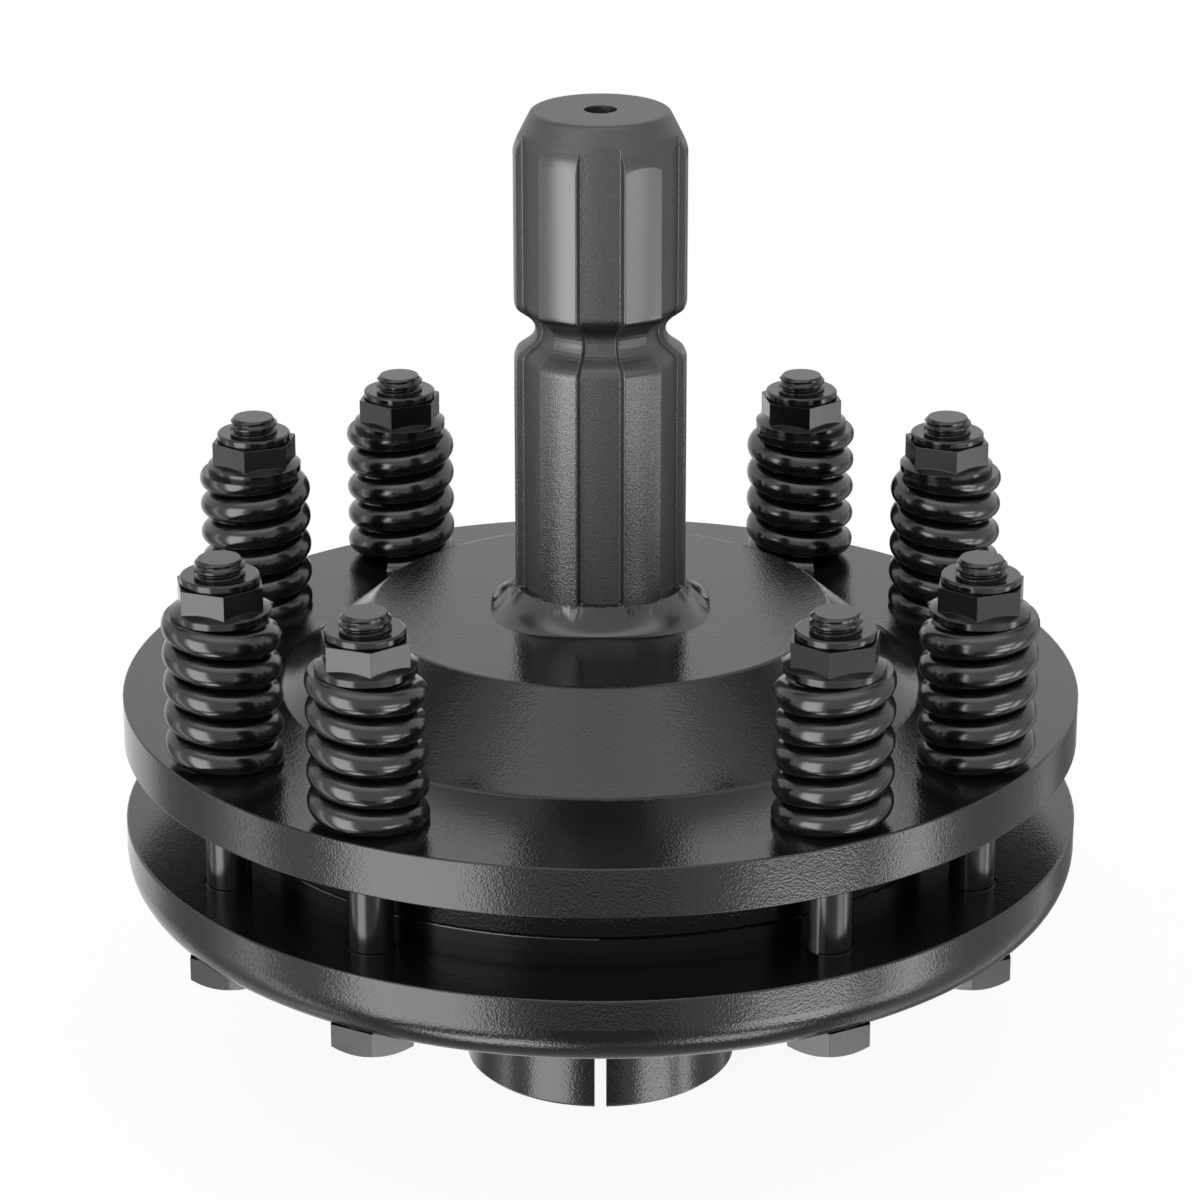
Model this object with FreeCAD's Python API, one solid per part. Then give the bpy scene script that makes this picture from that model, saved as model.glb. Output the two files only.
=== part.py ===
import FreeCAD, Part
import math
import os

# Power take-off shaft coupling: a friction slip clutch that carries a splined stub shaft.
# Lengths are in millimetres. The axis is Z, the origin is the middle of the hub's lower end
# face, and the slit in the hub faces -Y.

# Hub, one turned piece: sleeve, driven flange and the journal that centres the cover
hub_sleeve_length = 61.75
hub_sleeve_radius = 28.4
hub_end_chamfer = 0.8
hub_neck_fillet = 3.0
flange_thickness = 10.4
flange_radius = 77.7
journal_radius = 28.0
journal_depth_in_cover = 12.0
journal_chamfer = 0.8
bore_spline_count = 6
bore_minor_radius = 14.95
bore_major_radius = 17.6
bore_spline_space = 8.8
bore_lead_in = 1.5
slit_width = 2.4
slit_height = 50.0

# Friction linings, one ring on each side of the flange
lining_thickness = 3.2
lining_inner_radius = 45.0
stack_edge_round = 0.4

# Cover plate with its raised cone, one piece
cover_edge_beyond_bolts = 12.2
cover_thickness = 10.25
cover_edge_round = 0.4
cone_height = 16.0
cone_top_radius = 47.1
cone_base_radius = 66.0
cone_top_round = 1.2
cone_base_fillet = 1.5
web_thickness = 10.0

# Pilot bush between the cover and the hub's journal
bush_wall = 4.0
bush_length = 12.0
bush_setback = 0.6
bush_running_clearance = 0.05

# Stub shaft, above the top of the cone
stub_length = 104.3
stub_radius = 17.45
stub_top_corner_radius = 17.6
stub_root_radius = 15.75
stub_root_corner_radius = 16.0
stub_spline_count = 6
stub_spline_width = 8.7
stub_spline_edge_round = 0.3
stub_end_radius = 13.83
stub_end_round = 1.25
stub_lead_angle = 26.8
stub_shoulder_round = 9.0
stub_centre_hole_radius = 3.34
stub_centre_hole_depth = 12.0
stub_centre_tip_angle = 60.0
spigot_radius = 14.0
spigot_length = 8.0

# Ball groove around the stub
groove_height = 59.5
groove_neck_radius = 13.15
groove_flank_angle = 35.8
groove_bottom_round = 3.7
groove_shoulder_round = 2.35

# Weld bead at the foot of the stub: squared outline, low outer edge, slope up to the stub
bead_wall_height = 0.3
bead_slope_height = 5.7
bead_foot_half_width = 22.5
bead_foot_half_depth = 19.8
bead_wall_draft = 0.2
bead_squareness = 2.9
bead_top_radius = 16.4
bead_outline_points = 24

# Pressure plate, a cast ring with a rounded lower edge and a flat seat for each bolt head
plate_edge_beyond_bolts = 12.4
plate_thickness = 15.6
plate_edge_round = 9.35
plate_top_round = 0.5
plate_bore_chamfer = 1.0
plate_hub_clearance = 2.6
head_seat_depth = 1.4
head_seat_clearance = 1.0

# Clutch bolts, nuts and springs: two in each quadrant, mirrored about both vertical planes
bolt_gap_to_flange = 3.7
pair_half_angle = 14.15
thread_radius = 5.0
bolt_hole_clearance = 0.5
bolt_across_flats = 16.0
bolt_head_height = 6.0
bolt_head_lean = 0.5
bolt_washer_face = 0.3
bolt_washer_inset = 0.4
bolt_chamfer_inset = 0.45
bolt_tip_chamfer = 1.0
bolt_tip_above_nut = 3.3
hex_chamfer_angle = 30.0
hex_mean_corner = 30.0

nut_across_flats = 16.0
nut_lean = 9.0
nut_height = 8.4
nut_hex_top = 6.7
nut_collar_radius = 7.8
nut_collar_round = 0.5
nut_flange_radius = 9.9
nut_flange_edge = 1.35
nut_flange_slope = 25.0
nut_collar_gap = 0.3
nut_collar_neck = 0.6

spring_height = 30.4
spring_wire_radius = 2.85
spring_coil_radius = 8.95
spring_turns = 5.2
spring_pitch = 6.25
spring_closed_gap = 0.05
spring_front_lag = 0.06
spring_stations_per_turn = 10
spring_wire_facets = 8

# Radii worked out from the sizes above
bolt_circle_radius = flange_radius + bolt_gap_to_flange + thread_radius
bolt_hole_radius = thread_radius + bolt_hole_clearance
cover_radius = bolt_circle_radius + cover_edge_beyond_bolts
plate_radius = bolt_circle_radius + plate_edge_beyond_bolts
bush_radius = journal_radius + bush_running_clearance + bush_wall

# Levels worked out from the sizes above
flange_bottom = hub_sleeve_length
flange_top = flange_bottom + flange_thickness
plate_top = flange_bottom - lining_thickness
plate_bottom = plate_top - plate_thickness
head_seat = plate_bottom + head_seat_depth
cover_bottom = flange_top + lining_thickness
cover_top = cover_bottom + cover_thickness
cone_top = cover_top + cone_height
cavity_top = cone_top - web_thickness
journal_top = cover_bottom + journal_depth_in_cover
nut_seat = cover_top + spring_height
nut_top = nut_seat + nut_height
bolt_tip = nut_top + bolt_tip_above_nut
stub_end = cone_top + stub_length
groove_level = cone_top + groove_height

AXIS = FreeCAD.Vector(0, 0, 1)
ORIGIN = FreeCAD.Vector(0, 0, 0)
HEX_CORNERS = 6
GROOVE_ARC_STEPS = 4
JOIN_MARGIN = 1.0


def point(radius, height):
    return FreeCAD.Vector(radius, 0, height)


def turned(outline):
    """Solid of revolution about Z from a closed outline of (radius, height) corners."""
    corners = [point(radius, height) for radius, height in outline]
    wire = Part.makePolygon(corners + [corners[0]])
    return Part.Face(wire).revolve(ORIGIN, AXIS, 360)


def rings(shape, places):
    """Circular edges around Z at the given (radius, height) places."""
    found = []
    for edge in shape.Edges:
        curve = edge.Curve
        if not isinstance(curve, Part.Circle):
            continue
        for radius, height in places:
            same_radius = abs(curve.Radius - radius) < 1e-4
            same_height = abs(curve.Center.z - height) < 1e-4
            if same_radius and same_height and math.hypot(curve.Center.x, curve.Center.y) < 1e-4:
                found.append(edge)
    return found


def rounded(shape, size, places):
    return shape.makeFillet(size, rings(shape, places))


def chamfered(shape, size, places):
    return shape.makeChamfer(size, rings(shape, places))


def disc(radius, bottom, height, x=0.0, y=0.0):
    return Part.makeCylinder(radius, height, FreeCAD.Vector(x, y, bottom))


def hex_corner_radius(across_flats):
    return across_flats / math.sqrt(3)


def hexagon(across_flats, corner_angle, bottom, height):
    """Upright hexagonal prism with one corner at corner_angle degrees from +X."""
    corner_radius = hex_corner_radius(across_flats)
    corners = []
    for number in range(HEX_CORNERS + 1):
        angle = math.radians(corner_angle + 360.0 / HEX_CORNERS * number)
        corners.append(FreeCAD.Vector(corner_radius * math.cos(angle), corner_radius * math.sin(angle), bottom))
    return Part.Face(Part.makePolygon(corners)).extrude(AXIS * height)


def hex_envelope(across_flats, chamfer_inset, bottom, top):
    """Turned envelope that chamfers the corners of a hexagon on its lower face."""
    face_radius = across_flats / 2 - chamfer_inset
    corner_radius = hex_corner_radius(across_flats) + JOIN_MARGIN
    drop = (corner_radius - face_radius) * math.tan(math.radians(hex_chamfer_angle))
    return turned([
        (0, bottom),
        (face_radius, bottom),
        (corner_radius, bottom + drop),
        (corner_radius, top),
        (0, top),
    ])


def spline_profile(count, top_radius, root_radius, width, first_angle, top_corner=None, root_corner=None):
    """Closed wire of straight-sided splines; a corner radius over the middle's flattens its arc."""
    half = width / 2
    top_corner = top_corner or top_radius
    root_corner = root_corner or root_radius
    top_half = math.asin(half / top_corner)
    root_half = math.asin(half / root_corner)
    step = 2 * math.pi / count

    def place(radius, angle):
        return FreeCAD.Vector(radius * math.cos(angle), radius * math.sin(angle), 0)

    edges = []
    for number in range(count):
        middle = math.radians(first_angle) + step * number
        root_start = place(root_corner, middle - root_half)
        top_start = place(top_corner, middle - top_half)
        top_end = place(top_corner, middle + top_half)
        root_end = place(root_corner, middle + root_half)
        next_root = place(root_corner, middle + step - root_half)
        edges.append(Part.LineSegment(root_start, top_start).toShape())
        edges.append(Part.Arc(top_start, place(top_radius, middle), top_end).toShape())
        edges.append(Part.LineSegment(top_end, root_end).toShape())
        edges.append(Part.Arc(root_end, place(root_radius, middle + step / 2), next_root).toShape())
    return Part.Wire(edges)


def make_hub():
    """Sleeve, flange and journal with an internally splined bore and a slit in the sleeve."""
    body = turned([
        (0, 0),
        (hub_sleeve_radius, 0),
        (hub_sleeve_radius, flange_bottom),
        (flange_radius, flange_bottom),
        (flange_radius, flange_top),
        (journal_radius, flange_top),
        (journal_radius, journal_top),
        (0, journal_top),
    ])
    body = rounded(body, hub_neck_fillet, [(hub_sleeve_radius, flange_bottom)])
    body = chamfered(body, hub_end_chamfer, [(hub_sleeve_radius, 0)])
    body = rounded(body, stack_edge_round, [(flange_radius, flange_bottom), (flange_radius, flange_top)])
    body = chamfered(body, journal_chamfer, [(journal_radius, journal_top)])
    slit_side = -90.0
    profile = spline_profile(bore_spline_count, bore_major_radius, bore_minor_radius, bore_spline_space, slit_side)
    bore = Part.Face(profile).extrude(AXIS * journal_top)
    lead_radius = bore_major_radius + bore_lead_in
    lead_in = turned([(0, 0), (lead_radius, 0), (bore_minor_radius, lead_radius - bore_minor_radius),
                      (0, lead_radius - bore_minor_radius)])
    slit_reach = hub_sleeve_radius + JOIN_MARGIN
    slit = Part.makeBox(slit_width, slit_reach, slit_height, FreeCAD.Vector(-slit_width / 2, -slit_reach, 0))
    return body.cut(bore).cut(lead_in).cut(slit)


def make_lining(bottom, flange_face):
    """Flat ring with its outer edge rounded where it meets the flange."""
    ring = disc(flange_radius, bottom, lining_thickness).cut(disc(lining_inner_radius, bottom, lining_thickness))
    return rounded(ring, stack_edge_round, [(flange_radius, flange_face)])


def make_cover():
    """Plate with a raised cone, a bush seat below and a spigot hole through the web."""
    plate = turned([
        (bush_radius, cover_bottom),
        (cover_radius, cover_bottom),
        (cover_radius, cover_top),
        (cone_base_radius, cover_top),
        (cone_top_radius, cone_top),
        (spigot_radius, cone_top),
        (spigot_radius, cavity_top),
        (bush_radius, cavity_top),
    ])
    plate = rounded(plate, cover_edge_round, [(cover_radius, cover_bottom), (cover_radius, cover_top)])
    plate = rounded(plate, cone_top_round, [(cone_top_radius, cone_top)])
    plate = rounded(plate, cone_base_fillet, [(cone_base_radius, cover_top)])
    for x, y in bolt_places():
        plate = plate.cut(disc(bolt_hole_radius, cover_bottom, cover_thickness, x, y))
    return plate


def make_bush():
    bottom = cover_bottom + bush_setback
    bore_radius = journal_radius + bush_running_clearance
    return disc(bush_radius, bottom, bush_length).cut(disc(bore_radius, bottom, bush_length))


def groove_stations():
    """Heights and radii down the ball groove: rounded bottom, straight flanks, rounded shoulders."""
    slope = math.radians(90 - groove_flank_angle)
    depth = stub_radius - groove_neck_radius
    arc_depth = (groove_bottom_round + groove_shoulder_round) * (1 - math.cos(slope))
    straight = (depth - arc_depth) / math.tan(slope)
    reach = (groove_bottom_round + groove_shoulder_round) * math.sin(slope) + straight
    upper = []
    for step in range(GROOVE_ARC_STEPS + 1):
        turn = slope * step / GROOVE_ARC_STEPS
        radius = groove_neck_radius + groove_bottom_round * (1 - math.cos(turn))
        upper.append((groove_bottom_round * math.sin(turn), radius))
    for step in range(GROOVE_ARC_STEPS, -1, -1):
        turn = slope * step / GROOVE_ARC_STEPS
        radius = stub_radius - groove_shoulder_round * (1 - math.cos(turn))
        upper.append((reach - groove_shoulder_round * math.sin(turn), radius))
    lower = [(-offset, radius) for offset, radius in reversed(upper[1:])]
    return [(groove_level + offset, radius) for offset, radius in lower + upper]


def stub_section():
    """Outline of the splines with its corners rounded, at the height of the origin."""
    profile = spline_profile(stub_spline_count, stub_radius, stub_root_radius, stub_spline_width, 0.0,
                             stub_top_corner_radius, stub_root_corner_radius)
    prism = Part.Face(profile).extrude(AXIS * stub_length)
    upright = [edge for edge in prism.Edges if edge.BoundBox.ZLength > stub_length / 2]
    prism = prism.makeFillet(stub_spline_edge_round, upright)
    return min(prism.Faces, key=lambda face: face.CenterOfMass.z).OuterWire


def make_stub():
    """Splined shaft with a lead-in cone, a ball groove, a centre hole and a welded spigot."""
    section = stub_section()
    stations = groove_stations()
    groove_rings = []
    for level, radius in stations:
        ring = section.copy()
        ring.scale(radius / stub_radius)
        ring.translate(AXIS * level)
        groove_rings.append(ring)
    groove_bottom = stations[0][0]
    groove_top = stations[-1][0]
    lower = Part.Face(section).extrude(AXIS * (groove_bottom - cone_top))
    lower.translate(AXIS * cone_top)
    waist = Part.makeLoft(groove_rings, True, True)
    upper = Part.Face(section).extrude(AXIS * (stub_end - groove_top))
    upper.translate(AXIS * groove_top)
    lead_length = (stub_top_corner_radius - stub_end_radius) / math.tan(math.radians(stub_lead_angle))
    lead_start = stub_end - lead_length
    envelope = turned([
        (0, groove_top),
        (stub_top_corner_radius, groove_top),
        (stub_top_corner_radius, lead_start),
        (stub_end_radius, stub_end),
        (0, stub_end),
    ])
    envelope = rounded(envelope, stub_shoulder_round, [(stub_top_corner_radius, lead_start)])
    envelope = rounded(envelope, stub_end_round, [(stub_end_radius, stub_end)])
    tip_length = stub_centre_hole_radius / math.tan(math.radians(stub_centre_tip_angle))
    hole_bottom = stub_end - stub_centre_hole_depth
    centre_hole = turned([
        (0, stub_end),
        (stub_centre_hole_radius, stub_end),
        (stub_centre_hole_radius, hole_bottom),
        (0, hole_bottom - tip_length),
    ])
    upper = upper.common(envelope).cut(centre_hole)
    spigot = disc(spigot_radius, cone_top - spigot_length, spigot_length + JOIN_MARGIN)
    return lower.fuse([spigot, waist, upper]).removeSplitter()


def squared_outline(half_width, half_depth, power, level):
    """Smooth closed outline between an ellipse, with a power of 2, and a rectangle."""
    places = []
    for number in range(bead_outline_points):
        angle = 2 * math.pi * number / bead_outline_points
        share = (abs(math.cos(angle)) / half_width) ** power + (abs(math.sin(angle)) / half_depth) ** power
        radius = share ** (-1 / power)
        places.append(FreeCAD.Vector(radius * math.cos(angle), radius * math.sin(angle), level))
    curve = Part.BSplineCurve()
    curve.interpolate(Points=places, PeriodicFlag=True)
    return Part.Wire([curve.toShape()])


def make_weld_bead(stub):
    """Fillet weld on the top of the cone, run into the grooves of the stub."""
    width = bead_foot_half_width
    depth = bead_foot_half_depth
    wall_top = cone_top + bead_wall_height
    foot = squared_outline(width, depth, bead_squareness, cone_top)
    waist = squared_outline(width - bead_wall_draft, depth - bead_wall_draft, bead_squareness, wall_top)
    top = squared_outline(bead_top_radius, bead_top_radius, 2.0, wall_top + bead_slope_height)
    mound = Part.makeLoft([foot, waist, top], True, True)
    return mound.cut(stub)


def make_pressure_plate():
    """Flat ring under the lower lining, with a hole and a sunk seat for each bolt."""
    bore = hub_sleeve_radius + plate_hub_clearance
    plate = turned([
        (bore, plate_bottom),
        (plate_radius, plate_bottom),
        (plate_radius, plate_top),
        (bore, plate_top),
    ])
    plate = rounded(plate, plate_edge_round, [(plate_radius, plate_bottom)])
    plate = rounded(plate, plate_top_round, [(plate_radius, plate_top)])
    plate = chamfered(plate, plate_bore_chamfer, [(bore, plate_bottom), (bore, plate_top)])
    seat_radius = hex_corner_radius(bolt_across_flats) + head_seat_clearance
    for x, y in bolt_places():
        plate = plate.cut(disc(bolt_hole_radius, plate_bottom, plate_thickness, x, y))
        plate = plate.cut(disc(seat_radius, plate_bottom - JOIN_MARGIN, head_seat_depth + JOIN_MARGIN, x, y))
    return plate


def bolt_places():
    """Bolt centres, two in each quadrant, counted around from +X."""
    places = []
    for quadrant in range(4):
        for side in (-1, 1):
            angle = math.radians(45 + 90 * quadrant + side * pair_half_angle)
            places.append((bolt_circle_radius * math.cos(angle), bolt_circle_radius * math.sin(angle)))
    return places


def hand(x, y):
    """+1 where a quadrant's spring winds left-handed, -1 where it winds right-handed."""
    return 1 if x * y > 0 else -1


def make_bolt(x, y):
    """Clutch bolt: a hexagon with a washer face under the plate, and a plain shank with a tip."""
    corner = hex_mean_corner + bolt_head_lean * hand(x, y)
    head_bottom = head_seat - bolt_head_height
    hex_height = bolt_head_height - bolt_washer_face
    hex_top = head_bottom + hex_height
    head = hexagon(bolt_across_flats, corner, head_bottom, hex_height)
    head = head.common(hex_envelope(bolt_across_flats, bolt_chamfer_inset, head_bottom, hex_top))
    washer_radius = bolt_across_flats / 2 - bolt_washer_inset
    head = head.fuse(disc(washer_radius, hex_top - JOIN_MARGIN, bolt_washer_face + JOIN_MARGIN))
    shank = disc(thread_radius, head_seat - JOIN_MARGIN, bolt_tip - head_seat + JOIN_MARGIN)
    shank = chamfered(shank, bolt_tip_chamfer, [(thread_radius, bolt_tip)])
    bolt = head.fuse(shank).removeSplitter()
    bolt.translate(FreeCAD.Vector(x, y, 0))
    return bolt


def make_nut(x, y):
    """Lock nut: a flange with a sloping top, a hexagon and a round collar on a short neck."""
    corner = hex_mean_corner + nut_lean * hand(x, y)
    hex_top = nut_seat + nut_hex_top
    slope = math.radians(nut_flange_slope)
    neck_radius = nut_collar_radius - nut_collar_neck
    flange_edge_level = nut_seat + nut_flange_edge
    slope_radius = nut_across_flats / 2
    slope_top = flange_edge_level + (nut_flange_radius - slope_radius) * math.tan(slope)
    body = hexagon(nut_across_flats, corner, flange_edge_level, hex_top - flange_edge_level)
    flange = turned([
        (0, nut_seat),
        (nut_flange_radius, nut_seat),
        (nut_flange_radius, flange_edge_level),
        (slope_radius, slope_top),
        (neck_radius, slope_top),
        (neck_radius, hex_top + nut_collar_gap),
        (nut_collar_radius, hex_top + nut_collar_gap),
        (nut_collar_radius, nut_top),
        (0, nut_top),
    ])
    flange = rounded(flange, nut_collar_round, [(nut_collar_radius, nut_top)])
    bore = disc(thread_radius, nut_seat, nut_height)
    nut = body.fuse(flange).removeSplitter().cut(bore)
    nut.translate(FreeCAD.Vector(x, y, 0))
    return nut


def coil_rise(turn):
    """Height of the wire's centre above the spring's middle, turn by turn from the middle."""
    closed_pitch = 2 * spring_wire_radius + spring_closed_gap
    open_turns = min(abs(turn), spring_turns / 2 - 1)
    closed_turns = abs(turn) - open_turns
    return math.copysign(spring_pitch * open_turns + closed_pitch * closed_turns, turn)


def wire_section(turn):
    """Section of the spring's wire at one station, as large in area as the round wire."""
    step = 2 * math.pi / spring_wire_facets
    section_radius = spring_wire_radius * math.sqrt(step / math.sin(step))
    angle = 2 * math.pi * (turn + spring_front_lag) - math.pi / 2
    middle = cover_top + spring_height / 2 + coil_rise(turn)
    corners = []
    for number in range(spring_wire_facets + 1):
        around = step * (number + 0.5)
        reach = spring_coil_radius + section_radius * math.cos(around)
        corners.append(FreeCAD.Vector(reach * math.cos(angle), reach * math.sin(angle),
                                      middle + section_radius * math.sin(around)))
    return Part.makePolygon(corners)


def make_right_hand_spring():
    """Closed and ground spring for the front right quadrant, its axis on Z."""
    stations = round(spring_turns * spring_stations_per_turn)
    sections = []
    for number in range(stations + 1):
        sections.append(wire_section(spring_turns * (number / stations - 0.5)))
    coil = Part.makeLoft(sections, True, True)
    reach = spring_coil_radius + 2 * spring_wire_radius
    return coil.common(disc(reach, cover_top, spring_height))


def make_springs():
    """One spring for each bolt: the wound shape is mirrored from quadrant to quadrant."""
    front_right = make_right_hand_spring()
    springs = []
    for x, y in bolt_places():
        spring = front_right.copy()
        if x < 0:
            spring = spring.mirror(ORIGIN, FreeCAD.Vector(1, 0, 0))
        if y > 0:
            spring = spring.mirror(ORIGIN, FreeCAD.Vector(0, 1, 0))
        spring.translate(FreeCAD.Vector(x, y, 0))
        springs.append(spring)
    return springs


def main():
    stub = make_stub()
    nodes = {
        "hub": make_hub(),
        "lower_lining": make_lining(plate_top, flange_bottom),
        "upper_lining": make_lining(flange_top, flange_top),
        "cover_plate": make_cover(),
        "pilot_bush": make_bush(),
        "stub_shaft": stub,
        "weld_bead": make_weld_bead(stub),
        "pressure_disc": make_pressure_plate(),
    }
    springs = make_springs()
    for number, (x, y) in enumerate(bolt_places()):
        label = str(number + 1)
        nodes["clutch_bolt_" + label] = make_bolt(x, y)
        nodes["lock_nut_" + label] = make_nut(x, y)
        nodes["spring_" + label] = springs[number]
    os.makedirs("parts", exist_ok=True)
    for name, shape in nodes.items():
        solid = shape.Solids[0]
        print(name, shape.isValid(), len(shape.Solids), round(solid.Volume, 1))
        solid.exportStep("parts/" + name + ".step")


main()
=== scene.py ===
import math

import bmesh
import bpy
from mathutils import Matrix, Vector, noise


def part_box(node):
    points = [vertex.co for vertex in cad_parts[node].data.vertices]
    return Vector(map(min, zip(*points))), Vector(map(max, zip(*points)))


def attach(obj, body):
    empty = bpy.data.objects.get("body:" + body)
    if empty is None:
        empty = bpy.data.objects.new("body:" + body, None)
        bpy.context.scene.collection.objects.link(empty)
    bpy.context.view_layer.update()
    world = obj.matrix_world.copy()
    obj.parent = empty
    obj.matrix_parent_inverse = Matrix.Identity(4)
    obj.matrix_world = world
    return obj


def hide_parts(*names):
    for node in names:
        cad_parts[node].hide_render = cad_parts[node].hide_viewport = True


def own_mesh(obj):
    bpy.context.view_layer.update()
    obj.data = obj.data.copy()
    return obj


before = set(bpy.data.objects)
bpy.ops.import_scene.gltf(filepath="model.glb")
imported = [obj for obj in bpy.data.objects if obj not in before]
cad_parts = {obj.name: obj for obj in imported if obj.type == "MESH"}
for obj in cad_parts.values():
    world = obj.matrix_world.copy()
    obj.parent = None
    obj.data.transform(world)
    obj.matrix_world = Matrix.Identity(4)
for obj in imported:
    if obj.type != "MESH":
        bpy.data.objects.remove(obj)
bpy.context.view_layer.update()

MM = 0.001
FASTENER_NUMBERS = range(1, 9)

# Working tolerances of the mesh operators, and what the shading goes by
CUT_TOLERANCE = 1e-7
MERGE_DISTANCE = 1e-6
FLAT_ANGLE = math.radians(0.6)
SHARP_ANGLE = math.radians(22)
FACE_WEIGHT = 100

# The clutch bolts' threads, where they stand out of the lock nuts
THREAD_PITCH = 1.5 * MM
THREAD_DEPTH = 0.62 * MM
THREAD_RADIUS = 5.05 * MM
THREAD_LENGTH = 24.0 * MM
THREAD_STEPS = 40
TIP_FLAT_RADIUS = 4.15 * MM
TIP_SLOPE = 0.9

# The thread's profile and its run below the cut, in pitches
THREAD_ROOT_END = 0.14
THREAD_CREST_START = 0.44
THREAD_CREST_END = 0.7
THREAD_LEAD = 1.5
THREAD_SPARE_TURNS = 3

# The shank below the rolled thread, and the paint that fills its hole in the pressure plate
BOLT_RADIUS = 5.0 * MM
SHANK_RADIUS = 4.55 * MM
SHANK_TOLERANCE = 0.05 * MM
BOLT_HOLE_RADIUS = 5.5 * MM
PAINT_DEPTH = 0.4 * MM
PAINT_SIDES = 64

# The springs' wire and winding
WIRE_RADIUS = 2.85 * MM
COIL_RADIUS = 8.95 * MM
SPRING_TURNS = 5.2
SPRING_PITCH = 6.25 * MM
CLOSED_PITCH = 5.75 * MM
FRONT_LAG = 0.06
WIRE_SIDES = 28
STATIONS_PER_TURN = 44

# The splined stub's section, by which the weld and the stub's coat are laid out
SPLINE_STEP = math.radians(60)
SPLINE_HALF = math.radians(14.4)
FLANK_TURN = math.radians(1.8)
SPLINE_TOP_RADIUS = 17.45 * MM
ROOT_RADIUS = 15.75 * MM
GROOVE_LEVEL = 161.0 * MM

# The weld bead around the foot of the stub
BEAD_COLUMNS = 540
BEAD_SLOPE_ROWS = 30
BEAD_WALL_ROWS = 4
BEAD_WALL_HEIGHT = 0.12 * MM
BEAD_WALL_DRAFT = 0.2 * MM
BEAD_INNER_RADIUS = 15.3 * MM
BEAD_CONTACT_FRONT = 5.6 * MM
BEAD_CONTACT_SIDE = 5.1 * MM
BEAD_SIDE_TURN = math.radians(36)
BEAD_FOOT_HALF_WIDTH = 22.5 * MM
BEAD_FOOT_HALF_DEPTH = 19.8 * MM
BEAD_SQUARENESS = 2.9
BEAD_STRAIGHT_SHARE = 0.35
BEAD_RISE_INWARDS = 0.05
BEAD_RIDGE = 0.8 * MM
BEAD_RIDGE_WIDTH = math.radians(9)
BEAD_HOLLOW = 0.55 * MM
BEAD_HOLLOW_TURN = math.radians(15)

# Long waves on the weld's slope; a spread is the radius of the bead's circle in the noise
WAVE_HEIGHT = 0.25 * MM
WAVE_SPREAD = 3.0
WAVE_PLACE = Vector((0, 0, 3.1))

# Ripples, cracks and drops where the weld meets the stub, strongest at FOOT_REACH from it; their
# outward rates are per metre
FOOT_REACH = 0.35 * MM
FOOT_WIDTH = 0.65 * MM
RIPPLE_HEIGHT = 0.6 * MM
RIPPLE_SPREAD = 9.0
RIPPLE_RATE = 500
RIPPLE_PLACE = 1.7
CRACK_HEIGHT = 0.35 * MM
CRACK_FINENESS = 3.0
CRACK_RATE = 900
CRACK_PLACE = 4.2
DROP_HEIGHT = 0.6 * MM
DROP_TURN = math.radians(2.2)
ROOT_RIPPLE_SHARE = 0.25

# Tones of the coats and of the bush
BLACK = (0.0026, 0.0026, 0.0027, 1)
SOOT = (0.0045, 0.0045, 0.0047, 1)
DARK_BRONZE = (0.42, 0.25, 0.1, 1)
LIGHT_BRONZE = (0.6, 0.4, 0.18, 1)

# Relief and finish of the coats
PEEL_DETAIL = 1.5
PEEL_HARSHNESS = 0.45
GRAIN_DETAIL = 2.0
CLOUD_SCALE = 26.0
CLOUD_DETAIL = 3.0
ROUGHNESS_DRIFT = 0.15
ROOT_ROUGHNESS = 0.12
EDGE_SAMPLES = 6
FASTENER_EDGE_ROUND = 0.16 * MM
STUB_EDGE_ROUND = 0.28 * MM

# Studio: cards on a ball round the object, white surroundings and a pale floor
CARD_DISTANCE = 2.2
CARD_CENTRE = 0.08
CARD_COLUMNS = 16
CARD_ROWS = 12
SURROUND_STRENGTH = 1.0
SURROUND_ON_MATT = 0.62
SURROUND_BELOW = 0.35
DARKEST_LEVEL = -0.85
WHITE_LEVEL = -0.4
FLOOR_RADIUS = 8.0
FLOOR_SIDES = 96
FLOOR_TONE = (0.88, 0.88, 0.88, 1)
FLOOR_ROUGHNESS = 0.9
FLOOR_WHITE_SHARE = 0.93

# Camera
CAMERA_PLACE = (-0.00009, -0.83652, 0.4141)
CAMERA_TILT = math.radians(69.562)
CAMERA_LENS = 129.96
CAMERA_SENSOR = 36.0


def middle(node):
    """Centre of a node's box seen from above."""
    low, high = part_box(node)
    return (low[0] + high[0]) / 2, (low[1] + high[1]) / 2


def new_piece(name, bm, material):
    """Object at the origin from a bmesh, with smooth faces between its sharp edges."""
    mesh = bpy.data.meshes.new(name)
    bm.to_mesh(mesh)
    bm.free()
    mesh.shade_smooth()
    mesh.set_sharp_from_angle(angle=SHARP_ANGLE)
    mesh.materials.append(material)
    piece = bpy.data.objects.new(name, mesh)
    bpy.context.collection.objects.link(piece)
    return piece


def boundary(bm):
    """Edges that have a face on one side only."""
    return [edge for edge in bm.edges if edge.is_boundary]


def trim(bm, height, keep_below):
    """Cuts a closed shape flat at a height and closes the cut."""
    geometry = bm.verts[:] + bm.edges[:] + bm.faces[:]
    bmesh.ops.bisect_plane(bm, geom=geometry, dist=CUT_TOLERANCE,
                           plane_co=(0, 0, height), plane_no=(0, 0, 1),
                           clear_outer=keep_below, clear_inner=not keep_below)
    bmesh.ops.holes_fill(bm, edges=boundary(bm), sides=0)


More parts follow.
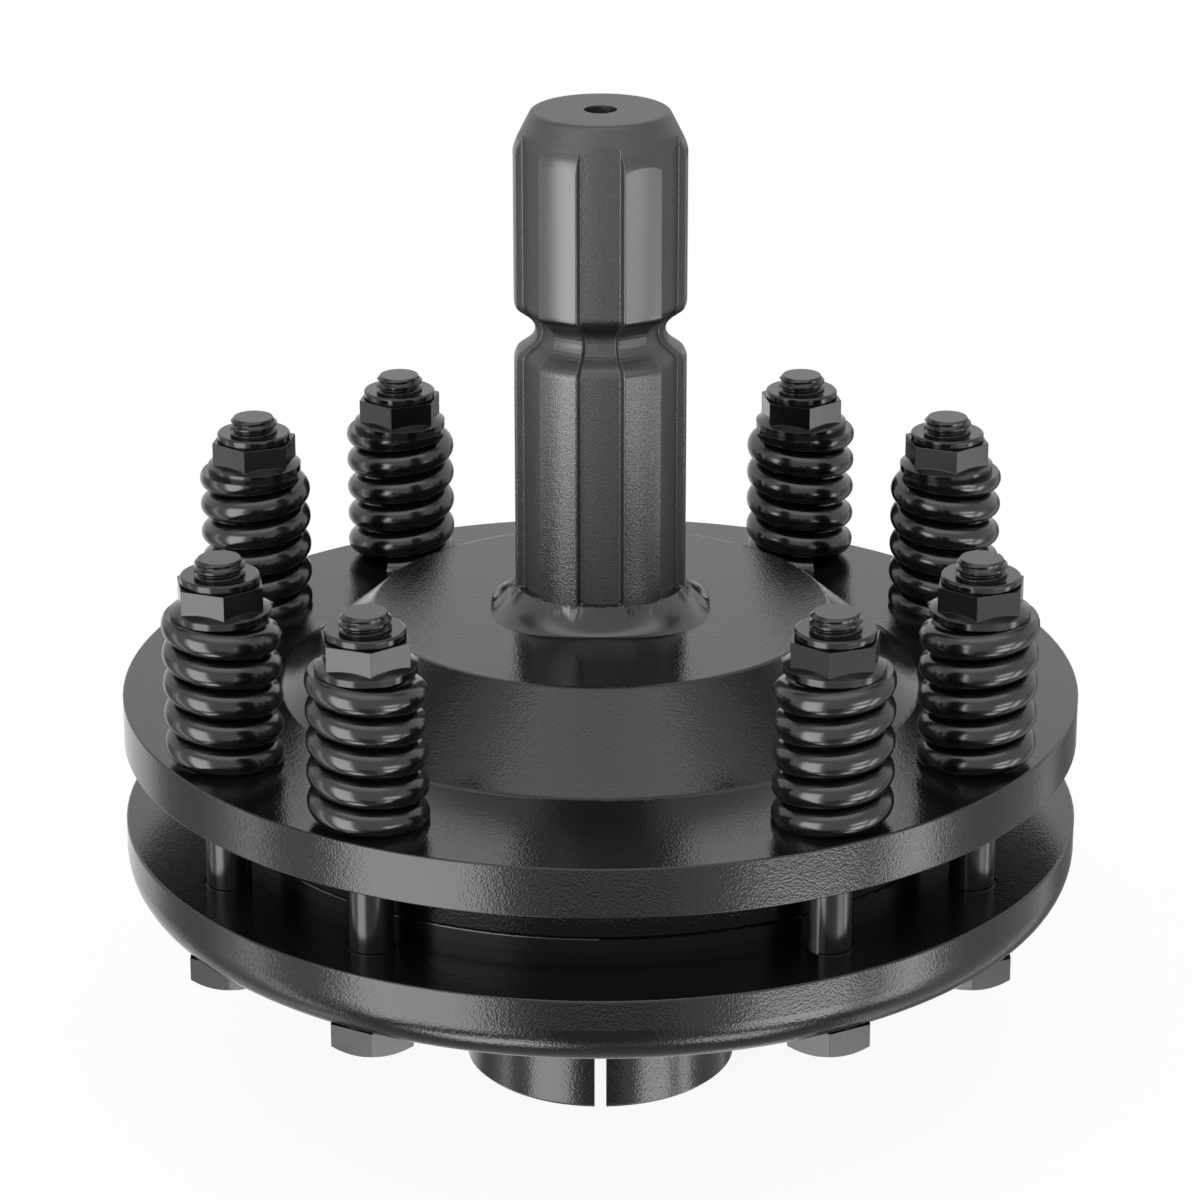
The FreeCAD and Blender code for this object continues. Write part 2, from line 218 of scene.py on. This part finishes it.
def extruded(bm, rim):
    """Extrudes a rim of edges on the spot; gives the new vertices and the new rim."""
    made = bmesh.ops.extrude_edge_only(bm, edges=rim)["geom"]
    ring = [item for item in made if isinstance(item, bmesh.types.BMVert)]
    members = set(ring)
    new_rim = [item for item in made if isinstance(item, bmesh.types.BMEdge)
               and item.verts[0] in members and item.verts[1] in members]
    return ring, new_rim


def coil_rise(turn):
    """Height of the wire's centre over the spring's middle, as many turns from the middle."""
    open_turns = min(abs(turn), SPRING_TURNS / 2 - 1)
    closed_turns = abs(turn) - open_turns
    return math.copysign(SPRING_PITCH * open_turns + CLOSED_PITCH * closed_turns, turn)


def wound_spring(bottom, top):
    """Right-hand spring of the front right quadrant, with its axis on Z and ground ends."""
    bm = bmesh.new()
    stations = round(SPRING_TURNS * STATIONS_PER_TURN)
    step = SPRING_TURNS / stations
    half = (top + bottom) / 2
    start = -SPRING_TURNS / 2
    upright = Matrix.Rotation(math.pi / 2, 3, "X")
    to_start = Matrix.Rotation(2 * math.pi * (start + FRONT_LAG) - math.pi / 2, 3, "Z")
    one_step = Matrix.Rotation(2 * math.pi * step, 3, "Z")
    bmesh.ops.create_circle(bm, cap_ends=True, segments=WIRE_SIDES, radius=WIRE_RADIUS)
    bmesh.ops.rotate(bm, verts=bm.verts[:], cent=(0, 0, 0), matrix=upright)
    bmesh.ops.translate(bm, verts=bm.verts[:], vec=(COIL_RADIUS, 0, half + coil_rise(start)))
    bmesh.ops.rotate(bm, verts=bm.verts[:], cent=(0, 0, 0), matrix=to_start)
    rim = bm.edges[:]
    for number in range(stations):
        turn = start + number * step
        ring, rim = extruded(bm, rim)
        bmesh.ops.rotate(bm, verts=ring, cent=(0, 0, 0), matrix=one_step)
        rise = coil_rise(turn + step) - coil_rise(turn)
        bmesh.ops.translate(bm, verts=ring, vec=(0, 0, rise))
    bmesh.ops.holes_fill(bm, edges=boundary(bm), sides=0)
    trim(bm, bottom, False)
    trim(bm, top, True)
    bmesh.ops.recalc_face_normals(bm, faces=bm.faces[:])
    return bm


def thread_shape(bottom, top):
    """Threaded end of a bolt, its axis on Z: one pitch of the thread spun upwards."""
    bm = bmesh.new()
    turns = math.ceil((top - bottom) / THREAD_PITCH) + THREAD_SPARE_TURNS
    root = THREAD_RADIUS - THREAD_DEPTH
    profile = [
        (root, 0.0),
        (root, THREAD_ROOT_END),
        (THREAD_RADIUS, THREAD_CREST_START),
        (THREAD_RADIUS, THREAD_CREST_END),
        (root, 1.0),
    ]
    start = bottom - THREAD_LEAD * THREAD_PITCH
    row = [bm.verts.new((radius, 0, start + share * THREAD_PITCH)) for radius, share in profile]
    for low, high in zip(row, row[1:]):
        bm.edges.new((low, high))
    bmesh.ops.spin(bm, geom=bm.verts[:] + bm.edges[:], cent=(0, 0, 0), axis=(0, 0, 1),
                   dvec=(0, 0, THREAD_PITCH / THREAD_STEPS), angle=2 * math.pi * turns,
                   steps=THREAD_STEPS * turns, use_merge=False)
    bmesh.ops.remove_doubles(bm, verts=bm.verts[:], dist=MERGE_DISTANCE)
    trim(bm, bottom, False)
    trim(bm, top, True)
    for vert in bm.verts:
        reach = math.hypot(vert.co.x, vert.co.y)
        limit = TIP_FLAT_RADIUS + TIP_SLOPE * (top - vert.co.z)
        if reach > limit:
            bmesh.ops.scale(bm, vec=(limit / reach, limit / reach, 1), verts=[vert])
    bmesh.ops.recalc_face_normals(bm, faces=bm.faces[:])
    return bm


def merged_copy(node):
    """A bmesh of a CAD node's shape with its loose triangles joined to flat faces."""
    bm = bmesh.new()
    bm.from_mesh(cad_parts[node].data)
    bmesh.ops.remove_doubles(bm, verts=bm.verts[:], dist=MERGE_DISTANCE)
    bmesh.ops.dissolve_limit(bm, angle_limit=FLAT_ANGLE, verts=bm.verts[:], edges=bm.edges[:])
    return bm


def slim_shank(bm, x, y):
    """Draws the bolt's plain shank in to the diameter of rolled stock."""
    axis = Matrix.Translation((-x, -y, 0))
    for vert in bm.verts:
        reach = math.hypot(vert.co.x - x, vert.co.y - y)
        if abs(reach - BOLT_RADIUS) < SHANK_TOLERANCE:
            slimmer = SHANK_RADIUS / reach
            bmesh.ops.scale(bm, vec=(slimmer, slimmer, 1), verts=[vert], space=axis)


def keep_faces_flat(piece):
    """Shades the broad flat faces flat, and leaves what turns to the small faces round them."""
    weighted = piece.modifiers.new("flat_faces", "WEIGHTED_NORMAL")
    weighted.mode = "FACE_AREA"
    weighted.weight = FACE_WEIGHT
    weighted.keep_sharp = True


def make_bolt(number, material):
    """Clutch bolt: head, slim rolled shank, the paint round it, and a thread at the free end."""
    node = "clutch_bolt_" + str(number)
    x, y = middle(node)
    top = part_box(node)[1][2]
    thread_start = top - THREAD_LENGTH
    bm = merged_copy(node)
    trim(bm, thread_start, True)
    slim_shank(bm, x, y)
    paint_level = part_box("pressure_disc")[1][2] - PAINT_DEPTH
    made = bmesh.ops.create_cone(bm, cap_ends=True, segments=PAINT_SIDES, radius1=BOLT_HOLE_RADIUS,
                                 radius2=BOLT_HOLE_RADIUS, depth=PAINT_DEPTH)
    bmesh.ops.translate(bm, verts=made["verts"], vec=(x, y, paint_level))
    thread = thread_shape(thread_start, top)
    bmesh.ops.translate(thread, verts=thread.verts[:], vec=(x, y, 0))
    part = bpy.data.meshes.new("thread_part")
    thread.to_mesh(part)
    thread.free()
    bm.from_mesh(part)
    bpy.data.meshes.remove(part)
    piece = new_piece("threaded_bolt_" + str(number), bm, material)
    keep_faces_flat(piece)
    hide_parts(node)
    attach(piece, "pressure_plate")


def make_springs(material):
    """One smooth spring for each bolt, mirrored from the front right quadrant."""
    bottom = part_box("spring_1")[0][2]
    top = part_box("spring_1")[1][2]
    wound = wound_spring(bottom, top)
    for number in FASTENER_NUMBERS:
        node = "spring_" + str(number)
        x, y = middle("clutch_bolt_" + str(number))
        bm = wound.copy()
        flip_x = -1 if x < 0 else 1
        flip_y = -1 if y > 0 else 1
        bmesh.ops.scale(bm, vec=(flip_x, flip_y, 1), verts=bm.verts[:])
        bmesh.ops.translate(bm, verts=bm.verts[:], vec=(x, y, 0))
        bmesh.ops.recalc_face_normals(bm, faces=bm.faces[:])
        piece = new_piece("coil_spring_" + str(number), bm, material)
        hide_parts(node)
        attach(piece, "cover")
        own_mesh(piece)
    wound.free()


def hump(distance, width):
    """Smooth hump of height 1, a given width to each side."""
    return math.exp(-(distance / width) ** 2)


def apart(angle, other):
    """Smallest turn between two angles."""
    return abs((angle - other + math.pi) % (2 * math.pi) - math.pi)


def from_spline(angle):
    """Turn from the middle of the nearest spline, which may be to either side."""
    return abs((angle + SPLINE_STEP / 2) % SPLINE_STEP - SPLINE_STEP / 2)


def stub_reach(angle):
    """Reach of the stub's own surface: spline tops, roots and the short flanks between them."""
    share = min(max((from_spline(angle) - SPLINE_HALF) / FLANK_TURN, 0), 1)
    return SPLINE_TOP_RADIUS + (ROOT_RADIUS - SPLINE_TOP_RADIUS) * share


def bead_foot_radius(angle):
    """Reach of the weld's squared outline at an angle from X."""
    across = abs(math.cos(angle)) / BEAD_FOOT_HALF_WIDTH
    along = abs(math.sin(angle)) / BEAD_FOOT_HALF_DEPTH
    return (across ** BEAD_SQUARENESS + along ** BEAD_SQUARENESS) ** (-1 / BEAD_SQUARENESS)


def foot_detail(angle, beyond):
    """Ripples and drops of weld where it meets the stub, strongest at the splines' corners."""
    near = hump(beyond - FOOT_REACH, FOOT_WIDTH)
    place = Vector((math.cos(angle), math.sin(angle), 0)) * RIPPLE_SPREAD
    finer = place * CRACK_FINENESS
    ripple = noise.noise(place + Vector((RIPPLE_PLACE, 0, beyond * RIPPLE_RATE)))
    crack = noise.noise(finer + Vector((0, CRACK_PLACE, beyond * CRACK_RATE)))
    drop = hump(from_spline(angle) - SPLINE_HALF - FLANK_TURN, DROP_TURN)
    share = 1.0 if from_spline(angle) < SPLINE_HALF else ROOT_RIPPLE_SHARE
    return near * ((RIPPLE_HEIGHT * ripple + CRACK_HEIGHT * crack) * share + DROP_HEIGHT * drop)


def slope_point(angle, share):
    """Reach and height of the weld's slope, from inside the stub, share 0, to its edge, share 1."""
    around = Vector((math.cos(angle), math.sin(angle), 0))
    wave = noise.noise(around * WAVE_SPREAD + WAVE_PLACE)
    edge = bead_foot_radius(angle) - BEAD_WALL_DRAFT
    reach = BEAD_INNER_RADIUS + (edge - BEAD_INNER_RADIUS) * share
    out = max((reach - SPLINE_TOP_RADIUS) / (edge - SPLINE_TOP_RADIUS), 0)
    side = min(apart(angle, 0), apart(angle, math.pi))
    at_side = hump(side, BEAD_SIDE_TURN)
    top = BEAD_CONTACT_FRONT + (BEAD_CONTACT_SIDE - BEAD_CONTACT_FRONT) * at_side
    fall = BEAD_STRAIGHT_SHARE * (1 - out) + (1 - BEAD_STRAIGHT_SHARE) * (1 - out) ** 2
    height = BEAD_WALL_HEIGHT + (top - BEAD_WALL_HEIGHT) * fall
    if reach < SPLINE_TOP_RADIUS:
        height += (SPLINE_TOP_RADIUS - reach) * BEAD_RISE_INWARDS
    swell = math.sin(math.pi * out)
    height += BEAD_RIDGE * max(1 - side / BEAD_RIDGE_WIDTH, 0) * swell
    behind = min(apart(angle, BEAD_HOLLOW_TURN), apart(angle, math.pi - BEAD_HOLLOW_TURN))
    height -= BEAD_HOLLOW * hump(behind, BEAD_RIDGE_WIDTH) * swell
    height += WAVE_HEIGHT * wave * swell + foot_detail(angle, reach - stub_reach(angle))
    return reach, max(height, 0.0)


def bead_point(angle, row, foot_level):
    """Point of the weld's upper surface, row by row down the slope and then down the wall."""
    if row <= BEAD_SLOPE_ROWS:
        reach, height = slope_point(angle, row / BEAD_SLOPE_ROWS)
    else:
        share = (row - BEAD_SLOPE_ROWS) / BEAD_WALL_ROWS
        reach, height = slope_point(angle, 1.0)
        reach += BEAD_WALL_DRAFT * math.sin(share * math.pi / 2)
        height *= 1 - share
    return Vector((math.cos(angle) * reach, math.sin(angle) * reach, foot_level + height))


def make_weld(material):
    """Rippled fillet weld: rings extruded outwards from the stub and down to the cone's top."""
    foot_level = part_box("weld_bead")[0][2]
    bm = bmesh.new()
    bmesh.ops.create_circle(bm, cap_ends=False, segments=BEAD_COLUMNS, radius=BEAD_INNER_RADIUS)
    bmesh.ops.translate(bm, verts=bm.verts[:], vec=(0, 0, foot_level))
    rim = bm.edges[:]
    for row in range(BEAD_SLOPE_ROWS + BEAD_WALL_ROWS + 1):
        ring, rim = extruded(bm, rim)
        for vert in ring:
            vert.co = bead_point(math.atan2(vert.co.y, vert.co.x), row, foot_level)
    bmesh.ops.bridge_loops(bm, edges=boundary(bm))
    bmesh.ops.recalc_face_normals(bm, faces=bm.faces[:])
    piece = new_piece("rippled_weld", bm, material)
    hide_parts("weld_bead")
    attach(piece, "cover")


def math_node(tree, operation, *values):
    """Math node fed by sockets or plain numbers; gives its result socket."""
    node = tree.nodes.new("ShaderNodeMath")
    node.operation = operation
    for socket, value in zip(node.inputs, values):
        if isinstance(value, (int, float)):
            socket.default_value = value
        else:
            tree.links.new(value, socket)
    return node.outputs["Value"]


def object_axes(tree):
    """Separated Object coordinates."""
    place = tree.nodes.new("ShaderNodeTexCoord")
    axes = tree.nodes.new("ShaderNodeSeparateXYZ")
    tree.links.new(place.outputs["Object"], axes.inputs["Vector"])
    return axes.outputs


def coat_relief_group():
    """Relief of a coat: a broad orange peel and a fine grain, from Object coordinates."""
    group = bpy.data.node_groups.new("coat_relief", "ShaderNodeTree")
    for name in ("Peel Scale", "Grain Scale", "Grain Share"):
        group.interface.new_socket(name, in_out="INPUT", socket_type="NodeSocketFloat")
    for name in ("Height", "Cloud"):
        group.interface.new_socket(name, in_out="OUTPUT", socket_type="NodeSocketFloat")
    nodes, links = group.nodes, group.links
    entry = nodes.new("NodeGroupInput")
    leave = nodes.new("NodeGroupOutput")
    place = nodes.new("ShaderNodeTexCoord")
    peel = nodes.new("ShaderNodeTexNoise")
    peel.inputs["Detail"].default_value = PEEL_DETAIL
    peel.inputs["Roughness"].default_value = PEEL_HARSHNESS
    grain = nodes.new("ShaderNodeTexNoise")
    grain.inputs["Detail"].default_value = GRAIN_DETAIL
    cloud = nodes.new("ShaderNodeTexNoise")
    cloud.inputs["Scale"].default_value = CLOUD_SCALE
    cloud.inputs["Detail"].default_value = CLOUD_DETAIL
    for texture in (peel, grain, cloud):
        links.new(place.outputs["Object"], texture.inputs["Vector"])
    links.new(entry.outputs["Peel Scale"], peel.inputs["Scale"])
    links.new(entry.outputs["Grain Scale"], grain.inputs["Scale"])
    blend = nodes.new("ShaderNodeMix")
    blend.data_type = "FLOAT"
    links.new(entry.outputs["Grain Share"], blend.inputs["Factor"])
    links.new(peel.outputs["Fac"], blend.inputs["A"])
    links.new(grain.outputs["Fac"], blend.inputs["B"])
    links.new(blend.outputs["Result"], leave.inputs["Height"])
    links.new(cloud.outputs["Fac"], leave.inputs["Cloud"])
    return group


COAT_RELIEF = coat_relief_group()


def coated(name, roughness, relief, peel, grain=2600.0, share=0.25, edge=0.0, dark=BLACK, light=SOOT):
    """A coat: two near tones, a roughness that drifts, its relief and its rounded edges."""
    material = bpy.data.materials.new(name)
    material.use_nodes = True
    nodes, links = material.node_tree.nodes, material.node_tree.links
    shader = nodes["Principled BSDF"]
    coat = nodes.new("ShaderNodeGroup")
    coat.node_tree = COAT_RELIEF
    coat.inputs["Peel Scale"].default_value = peel
    coat.inputs["Grain Scale"].default_value = grain
    coat.inputs["Grain Share"].default_value = share
    tone = nodes.new("ShaderNodeMix")
    tone.data_type = "RGBA"
    tone.inputs["A"].default_value = dark
    tone.inputs["B"].default_value = light
    links.new(coat.outputs["Cloud"], tone.inputs["Factor"])
    links.new(tone.outputs["Result"], shader.inputs["Base Color"])
    drift = nodes.new("ShaderNodeMapRange")
    drift.inputs["To Min"].default_value = roughness * (1 - ROUGHNESS_DRIFT)
    drift.inputs["To Max"].default_value = roughness * (1 + ROUGHNESS_DRIFT)
    links.new(coat.outputs["Cloud"], drift.inputs["Value"])
    links.new(drift.outputs["Result"], shader.inputs["Roughness"])
    bump = nodes.new("ShaderNodeBump")
    bump.inputs["Strength"].default_value = 1.0
    bump.inputs["Distance"].default_value = relief
    links.new(coat.outputs["Height"], bump.inputs["Height"])
    links.new(bump.outputs["Normal"], shader.inputs["Normal"])
    if edge:
        rounded = nodes.new("ShaderNodeBevel")
        rounded.samples = EDGE_SAMPLES
        rounded.inputs["Radius"].default_value = edge
        links.new(rounded.outputs["Normal"], bump.inputs["Normal"])
    return material


def finish_stub(material):
    """Takes the grain off the upper spline tops, which a sleeve has polished; roughens the roots."""
    tree = material.node_tree
    axes = object_axes(tree)
    across = math_node(tree, "MULTIPLY", axes["X"], axes["X"])
    along = math_node(tree, "MULTIPLY", axes["Y"], axes["Y"])
    reach = math_node(tree, "SQRT", math_node(tree, "ADD", across, along))
    on_top = math_node(tree, "GREATER_THAN", reach, (SPLINE_TOP_RADIUS + ROOT_RADIUS) / 2)
    above = math_node(tree, "GREATER_THAN", axes["Z"], GROOVE_LEVEL)
    polished = math_node(tree, "MULTIPLY", on_top, above)
    grainy = math_node(tree, "SUBTRACT", 1.0, polished)
    in_root = math_node(tree, "SUBTRACT", 1.0, on_top)
    tree.links.new(grainy, tree.nodes["Bump"].inputs["Strength"])
    finish = tree.nodes["Principled BSDF"].inputs["Roughness"]
    drift = finish.links[0].from_socket
    tree.links.new(math_node(tree, "MULTIPLY_ADD", in_root, ROOT_ROUGHNESS, drift), finish)


def set_constant(material, name, value):
    """Sets a constant on the socket of a material's shader."""
    material.node_tree.nodes["Principled BSDF"].inputs[name].default_value = value


def make_materials():
    """The coats of this coupling's pieces, and the bush's bronze."""
    materials = {
        "plate": coated("black_plate_coat", 0.12, 0.065 * MM, 2100.0, grain=560.0),
        "stub": coated("satin_stub_coat", 0.31, 0.11 * MM, 3000.0, grain=1200.0, share=0.3,
                       edge=STUB_EDGE_ROUND),
        "weld": coated("gloss_weld_coat", 0.22, 0.03 * MM, 420.0),
        "spring": coated("gloss_spring_coat", 0.18, 0.006 * MM, 500.0),
        "nut": coated("black_fastener_coat", 0.15, 0.006 * MM, 800.0, edge=FASTENER_EDGE_ROUND),
        "bolt": coated("black_bolt_coat", 0.2, 0.006 * MM, 900.0, grain=4000.0,
                       edge=FASTENER_EDGE_ROUND),
        "lining": coated("painted_lining", 0.2, 0.03 * MM, 700.0, share=0.4),
        "bush": coated("turned_bronze", 0.3, 0.004 * MM, 650.0, dark=DARK_BRONZE,
                       light=LIGHT_BRONZE),
    }
    set_constant(materials["stub"], "Specular IOR Level", 1.0)
    set_constant(materials["weld"], "Specular IOR Level", 0.8)
    set_constant(materials["spring"], "Specular IOR Level", 0.65)
    set_constant(materials["bush"], "Metallic", 1.0)
    finish_stub(materials["stub"])
    return materials


def paint(node, material):
    """Puts a material on a CAD node in place of its plain one."""
    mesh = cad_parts[node].data
    mesh.materials.clear()
    mesh.materials.append(material)


def soft_step(tree, value, start, width, rising):
    """Smooth step from 0 to 1 after a start, or from 1 to 0 before it."""
    node = tree.nodes.new("ShaderNodeMapRange")
    node.interpolation_type = "SMOOTHSTEP"
    low = start if rising else math_node(tree, "SUBTRACT", start, width)
    high = math_node(tree, "ADD", start, width) if rising else start
    tree.links.new(value, node.inputs["Value"])
    tree.links.new(low, node.inputs["From Min"])
    tree.links.new(high, node.inputs["From Max"])
    node.inputs["To Min"].default_value = 0.0 if rising else 1.0
    node.inputs["To Max"].default_value = 1.0 if rising else 0.0
    return node.outputs["Result"]


CARD_BORDERS = ("Left", "Right", "Low", "High", "Side Fade", "Level Fade")


def card_edges_group():
    """Mask of a card with soft edges, from the direction in which a point of it lies."""
    group = bpy.data.node_groups.new("card_edges", "ShaderNodeTree")
    for name in CARD_BORDERS:
        group.interface.new_socket(name, in_out="INPUT", socket_type="NodeSocketFloat")
    group.interface.new_socket("Mask", in_out="OUTPUT", socket_type="NodeSocketFloat")
    border = group.nodes.new("NodeGroupInput").outputs
    leave = group.nodes.new("NodeGroupOutput")
    axes = object_axes(group)
    towards = math_node(group, "MULTIPLY", axes["Y"], -1.0)
    azimuth = math_node(group, "ARCTAN2", axes["X"], towards)
    rise = math_node(group, "SUBTRACT", axes["Z"], CARD_CENTRE)
    level = math_node(group, "ARCSINE", math_node(group, "DIVIDE", rise, CARD_DISTANCE))
    left = soft_step(group, azimuth, border["Left"], border["Side Fade"], True)
    right = soft_step(group, azimuth, border["Right"], border["Side Fade"], False)
    low = soft_step(group, level, border["Low"], border["Level Fade"], True)
    high = soft_step(group, level, border["High"], border["Level Fade"], False)
    sides = math_node(group, "MULTIPLY", left, right)
    levels = math_node(group, "MULTIPLY", low, high)
    group.links.new(math_node(group, "MULTIPLY", sides, levels), leave.inputs["Mask"])
    return group


CARD_EDGES = card_edges_group()


def card_shape(azimuths, elevations):
    """Patch of the ball on which the cards lie, between two azimuths and two elevations."""
    bm = bmesh.new()
    bmesh.ops.create_grid(bm, x_segments=CARD_COLUMNS, y_segments=CARD_ROWS, size=0.5)
    for vert in bm.verts:
        azimuth = math.radians(azimuths[0] + (azimuths[1] - azimuths[0]) * (vert.co.x + 0.5))
        elevation = math.radians(elevations[0] + (elevations[1] - elevations[0]) * (vert.co.y + 0.5))
        level_reach = math.cos(elevation)
        direction = Vector((math.sin(azimuth) * level_reach, -math.cos(azimuth) * level_reach,
                            math.sin(elevation)))
        vert.co = direction * CARD_DISTANCE + Vector((0, 0, CARD_CENTRE))
    return bm


def card(name, azimuths, elevations, strength, fades):
    """Studio card with soft edges, which the camera does not see; angles in degrees."""
    material = bpy.data.materials.new(name + "_light")
    material.use_nodes = True
    nodes, links = material.node_tree.nodes, material.node_tree.links
    nodes.clear()
    edges = nodes.new("ShaderNodeGroup")
    edges.node_tree = CARD_EDGES
    for border, angle in zip(CARD_BORDERS, azimuths + elevations + fades):
        edges.inputs[border].default_value = math.radians(angle)
    brightest = max(strength, SURROUND_STRENGTH)
    tone = nodes.new("ShaderNodeMix")
    tone.data_type = "RGBA"
    tone.inputs["A"].default_value = (SURROUND_STRENGTH / brightest,) * 3 + (1,)
    tone.inputs["B"].default_value = (strength / brightest,) * 3 + (1,)
    links.new(edges.outputs["Mask"], tone.inputs["Factor"])
    glow = nodes.new("ShaderNodeEmission")
    glow.inputs["Strength"].default_value = brightest
    links.new(tone.outputs["Result"], glow.inputs["Color"])
    out = nodes.new("ShaderNodeOutputMaterial")
    links.new(glow.outputs["Emission"], out.inputs["Surface"])
    piece = new_piece(name, card_shape(azimuths, elevations), material)
    piece.visible_camera = False
    piece.visible_shadow = False


def make_cards():
    """Soft boxes left, right and above, and the grey cards that keep the coat's dark bands.

    Each card has its azimuths from the front, its elevations, its strength and its fades to the
    sides and up and down.
    """
    card("soft_box_left", (-66, -21), (-48, 30), 5.6, (9, 12))
    card("strip_left_lower", (-67, -14), (-74, -54), 5.0, (7, 5))
    card("strip_left", (-94, -84), (-55, 20), 2.6, (2, 8))
    card("strip_right_upper", (26, 66), (-17, 3), 5.4, (9, 5))
    card("strip_right_middle", (30, 68), (-44, -22), 6.2, (9, 4))
    card("strip_right_lower", (26, 66), (-68, -50), 4.2, (9, 5))
    card("soft_box_right_edge", (68, 86), (-42, -8), 4.6, (4, 8))
    card("grey_front", (-20, 22), (-66, -20), 0.26, (8, 8))
    card("grey_left", (-134, -100), (-60, 8), 0.45, (8, 10))
    card("grey_right", (92, 132), (-60, 4), 0.6, (6, 10))
    card("grey_right_back", (132, 170), (-60, 4), 0.22, (8, 10))
    card("soft_box_top", (-75, 75), (36, 89), 2.1, (10, 20))
    card("soft_box_top_back", (76, 284), (68, 89), 2.1, (0, 6))
    card("grey_high_left", (-125, -92), (36, 64), 0.3, (6, 6))
    card("grey_high_right", (92, 125), (36, 64), 0.35, (6, 6))


def make_surroundings():
    """White surroundings, dimmer on matt surfaces, that darken downwards."""
    world = bpy.data.worlds.new("studio_surroundings")
    bpy.context.scene.world = world
    world.use_nodes = True
    tree = world.node_tree
    nodes, links = tree.nodes, tree.links
    nodes.clear()
    ray = nodes.new("ShaderNodeLightPath").outputs
    seen = math_node(tree, "MAXIMUM", ray["Is Camera Ray"], ray["Is Glossy Ray"])
    seen_all = math_node(tree, "MAXIMUM", seen, ray["Is Transmission Ray"])
    strength = nodes.new("ShaderNodeMapRange")
    strength.inputs["To Min"].default_value = SURROUND_ON_MATT
    strength.inputs["To Max"].default_value = SURROUND_STRENGTH
    links.new(seen_all, strength.inputs["Value"])
    place = nodes.new("ShaderNodeTexCoord")
    axes = nodes.new("ShaderNodeSeparateXYZ")
    links.new(place.outputs["Generated"], axes.inputs["Vector"])
    fall = nodes.new("ShaderNodeMapRange")
    fall.interpolation_type = "SMOOTHSTEP"
    fall.inputs["From Min"].default_value = DARKEST_LEVEL
    fall.inputs["From Max"].default_value = WHITE_LEVEL
    fall.inputs["To Min"].default_value = SURROUND_BELOW
    fall.inputs["To Max"].default_value = 1.0
    links.new(axes.outputs["Z"], fall.inputs["Value"])
    level = math_node(tree, "MULTIPLY", strength.outputs["Result"], fall.outputs["Result"])
    background = nodes.new("ShaderNodeBackground")
    links.new(level, background.inputs["Strength"])
    background.inputs["Color"].default_value = (1, 1, 1, 1)
    out = nodes.new("ShaderNodeOutputWorld")
    links.new(background.outputs["Background"], out.inputs["Surface"])


def make_floor():
    """Pale floor: near white to the camera, with the object's soft shadow."""
    bm = bmesh.new()
    bmesh.ops.create_circle(bm, cap_ends=True, segments=FLOOR_SIDES, radius=FLOOR_RADIUS)
    material = bpy.data.materials.new("pale_floor")
    material.use_nodes = True
    tree = material.node_tree
    nodes, links = tree.nodes, tree.links
    shader = nodes["Principled BSDF"]
    shader.inputs["Base Color"].default_value = FLOOR_TONE
    shader.inputs["Roughness"].default_value = FLOOR_ROUGHNESS
    shader.inputs["Specular IOR Level"].default_value = 0.0
    path = nodes.new("ShaderNodeLightPath")
    share = math_node(tree, "MULTIPLY", path.outputs["Is Camera Ray"], FLOOR_WHITE_SHARE)
    white = nodes.new("ShaderNodeEmission")
    white.inputs["Strength"].default_value = 1.0
    mixed = nodes.new("ShaderNodeMixShader")
    links.new(share, mixed.inputs["Fac"])
    links.new(shader.outputs["BSDF"], mixed.inputs[1])
    links.new(white.outputs["Emission"], mixed.inputs[2])
    links.new(mixed.outputs["Shader"], nodes["Material Output"].inputs["Surface"])
    floor = new_piece("pale_floor", bm, material)
    floor.visible_glossy = False


def make_camera():
    """Long lens in front of the slit, looking down on the plates as in the photograph."""
    data = bpy.data.cameras.new("studio_camera")
    data.sensor_width = CAMERA_SENSOR
    data.lens = CAMERA_LENS
    camera = bpy.data.objects.new("studio_camera", data)
    camera.location = CAMERA_PLACE
    camera.rotation_euler = (CAMERA_TILT, 0, 0)
    bpy.context.collection.objects.link(camera)
    bpy.context.scene.camera = camera


def main():
    """Dresses the solids, makes the pieces that replace plain ones, and sets up the studio."""
    materials = make_materials()
    for node in ("cover_plate", "pressure_disc", "hub"):
        paint(node, materials["plate"])
    for node in ("upper_lining", "lower_lining"):
        paint(node, materials["lining"])
    paint("pilot_bush", materials["bush"])
    paint("stub_shaft", materials["stub"])
    for number in FASTENER_NUMBERS:
        paint("lock_nut_" + str(number), materials["nut"])
        make_bolt(number, materials["bolt"])
    make_springs(materials["spring"])
    make_weld(materials["weld"])
    make_cards()
    make_surroundings()
    make_floor()
    make_camera()
    bpy.context.scene.view_settings.view_transform = "Standard"


main()
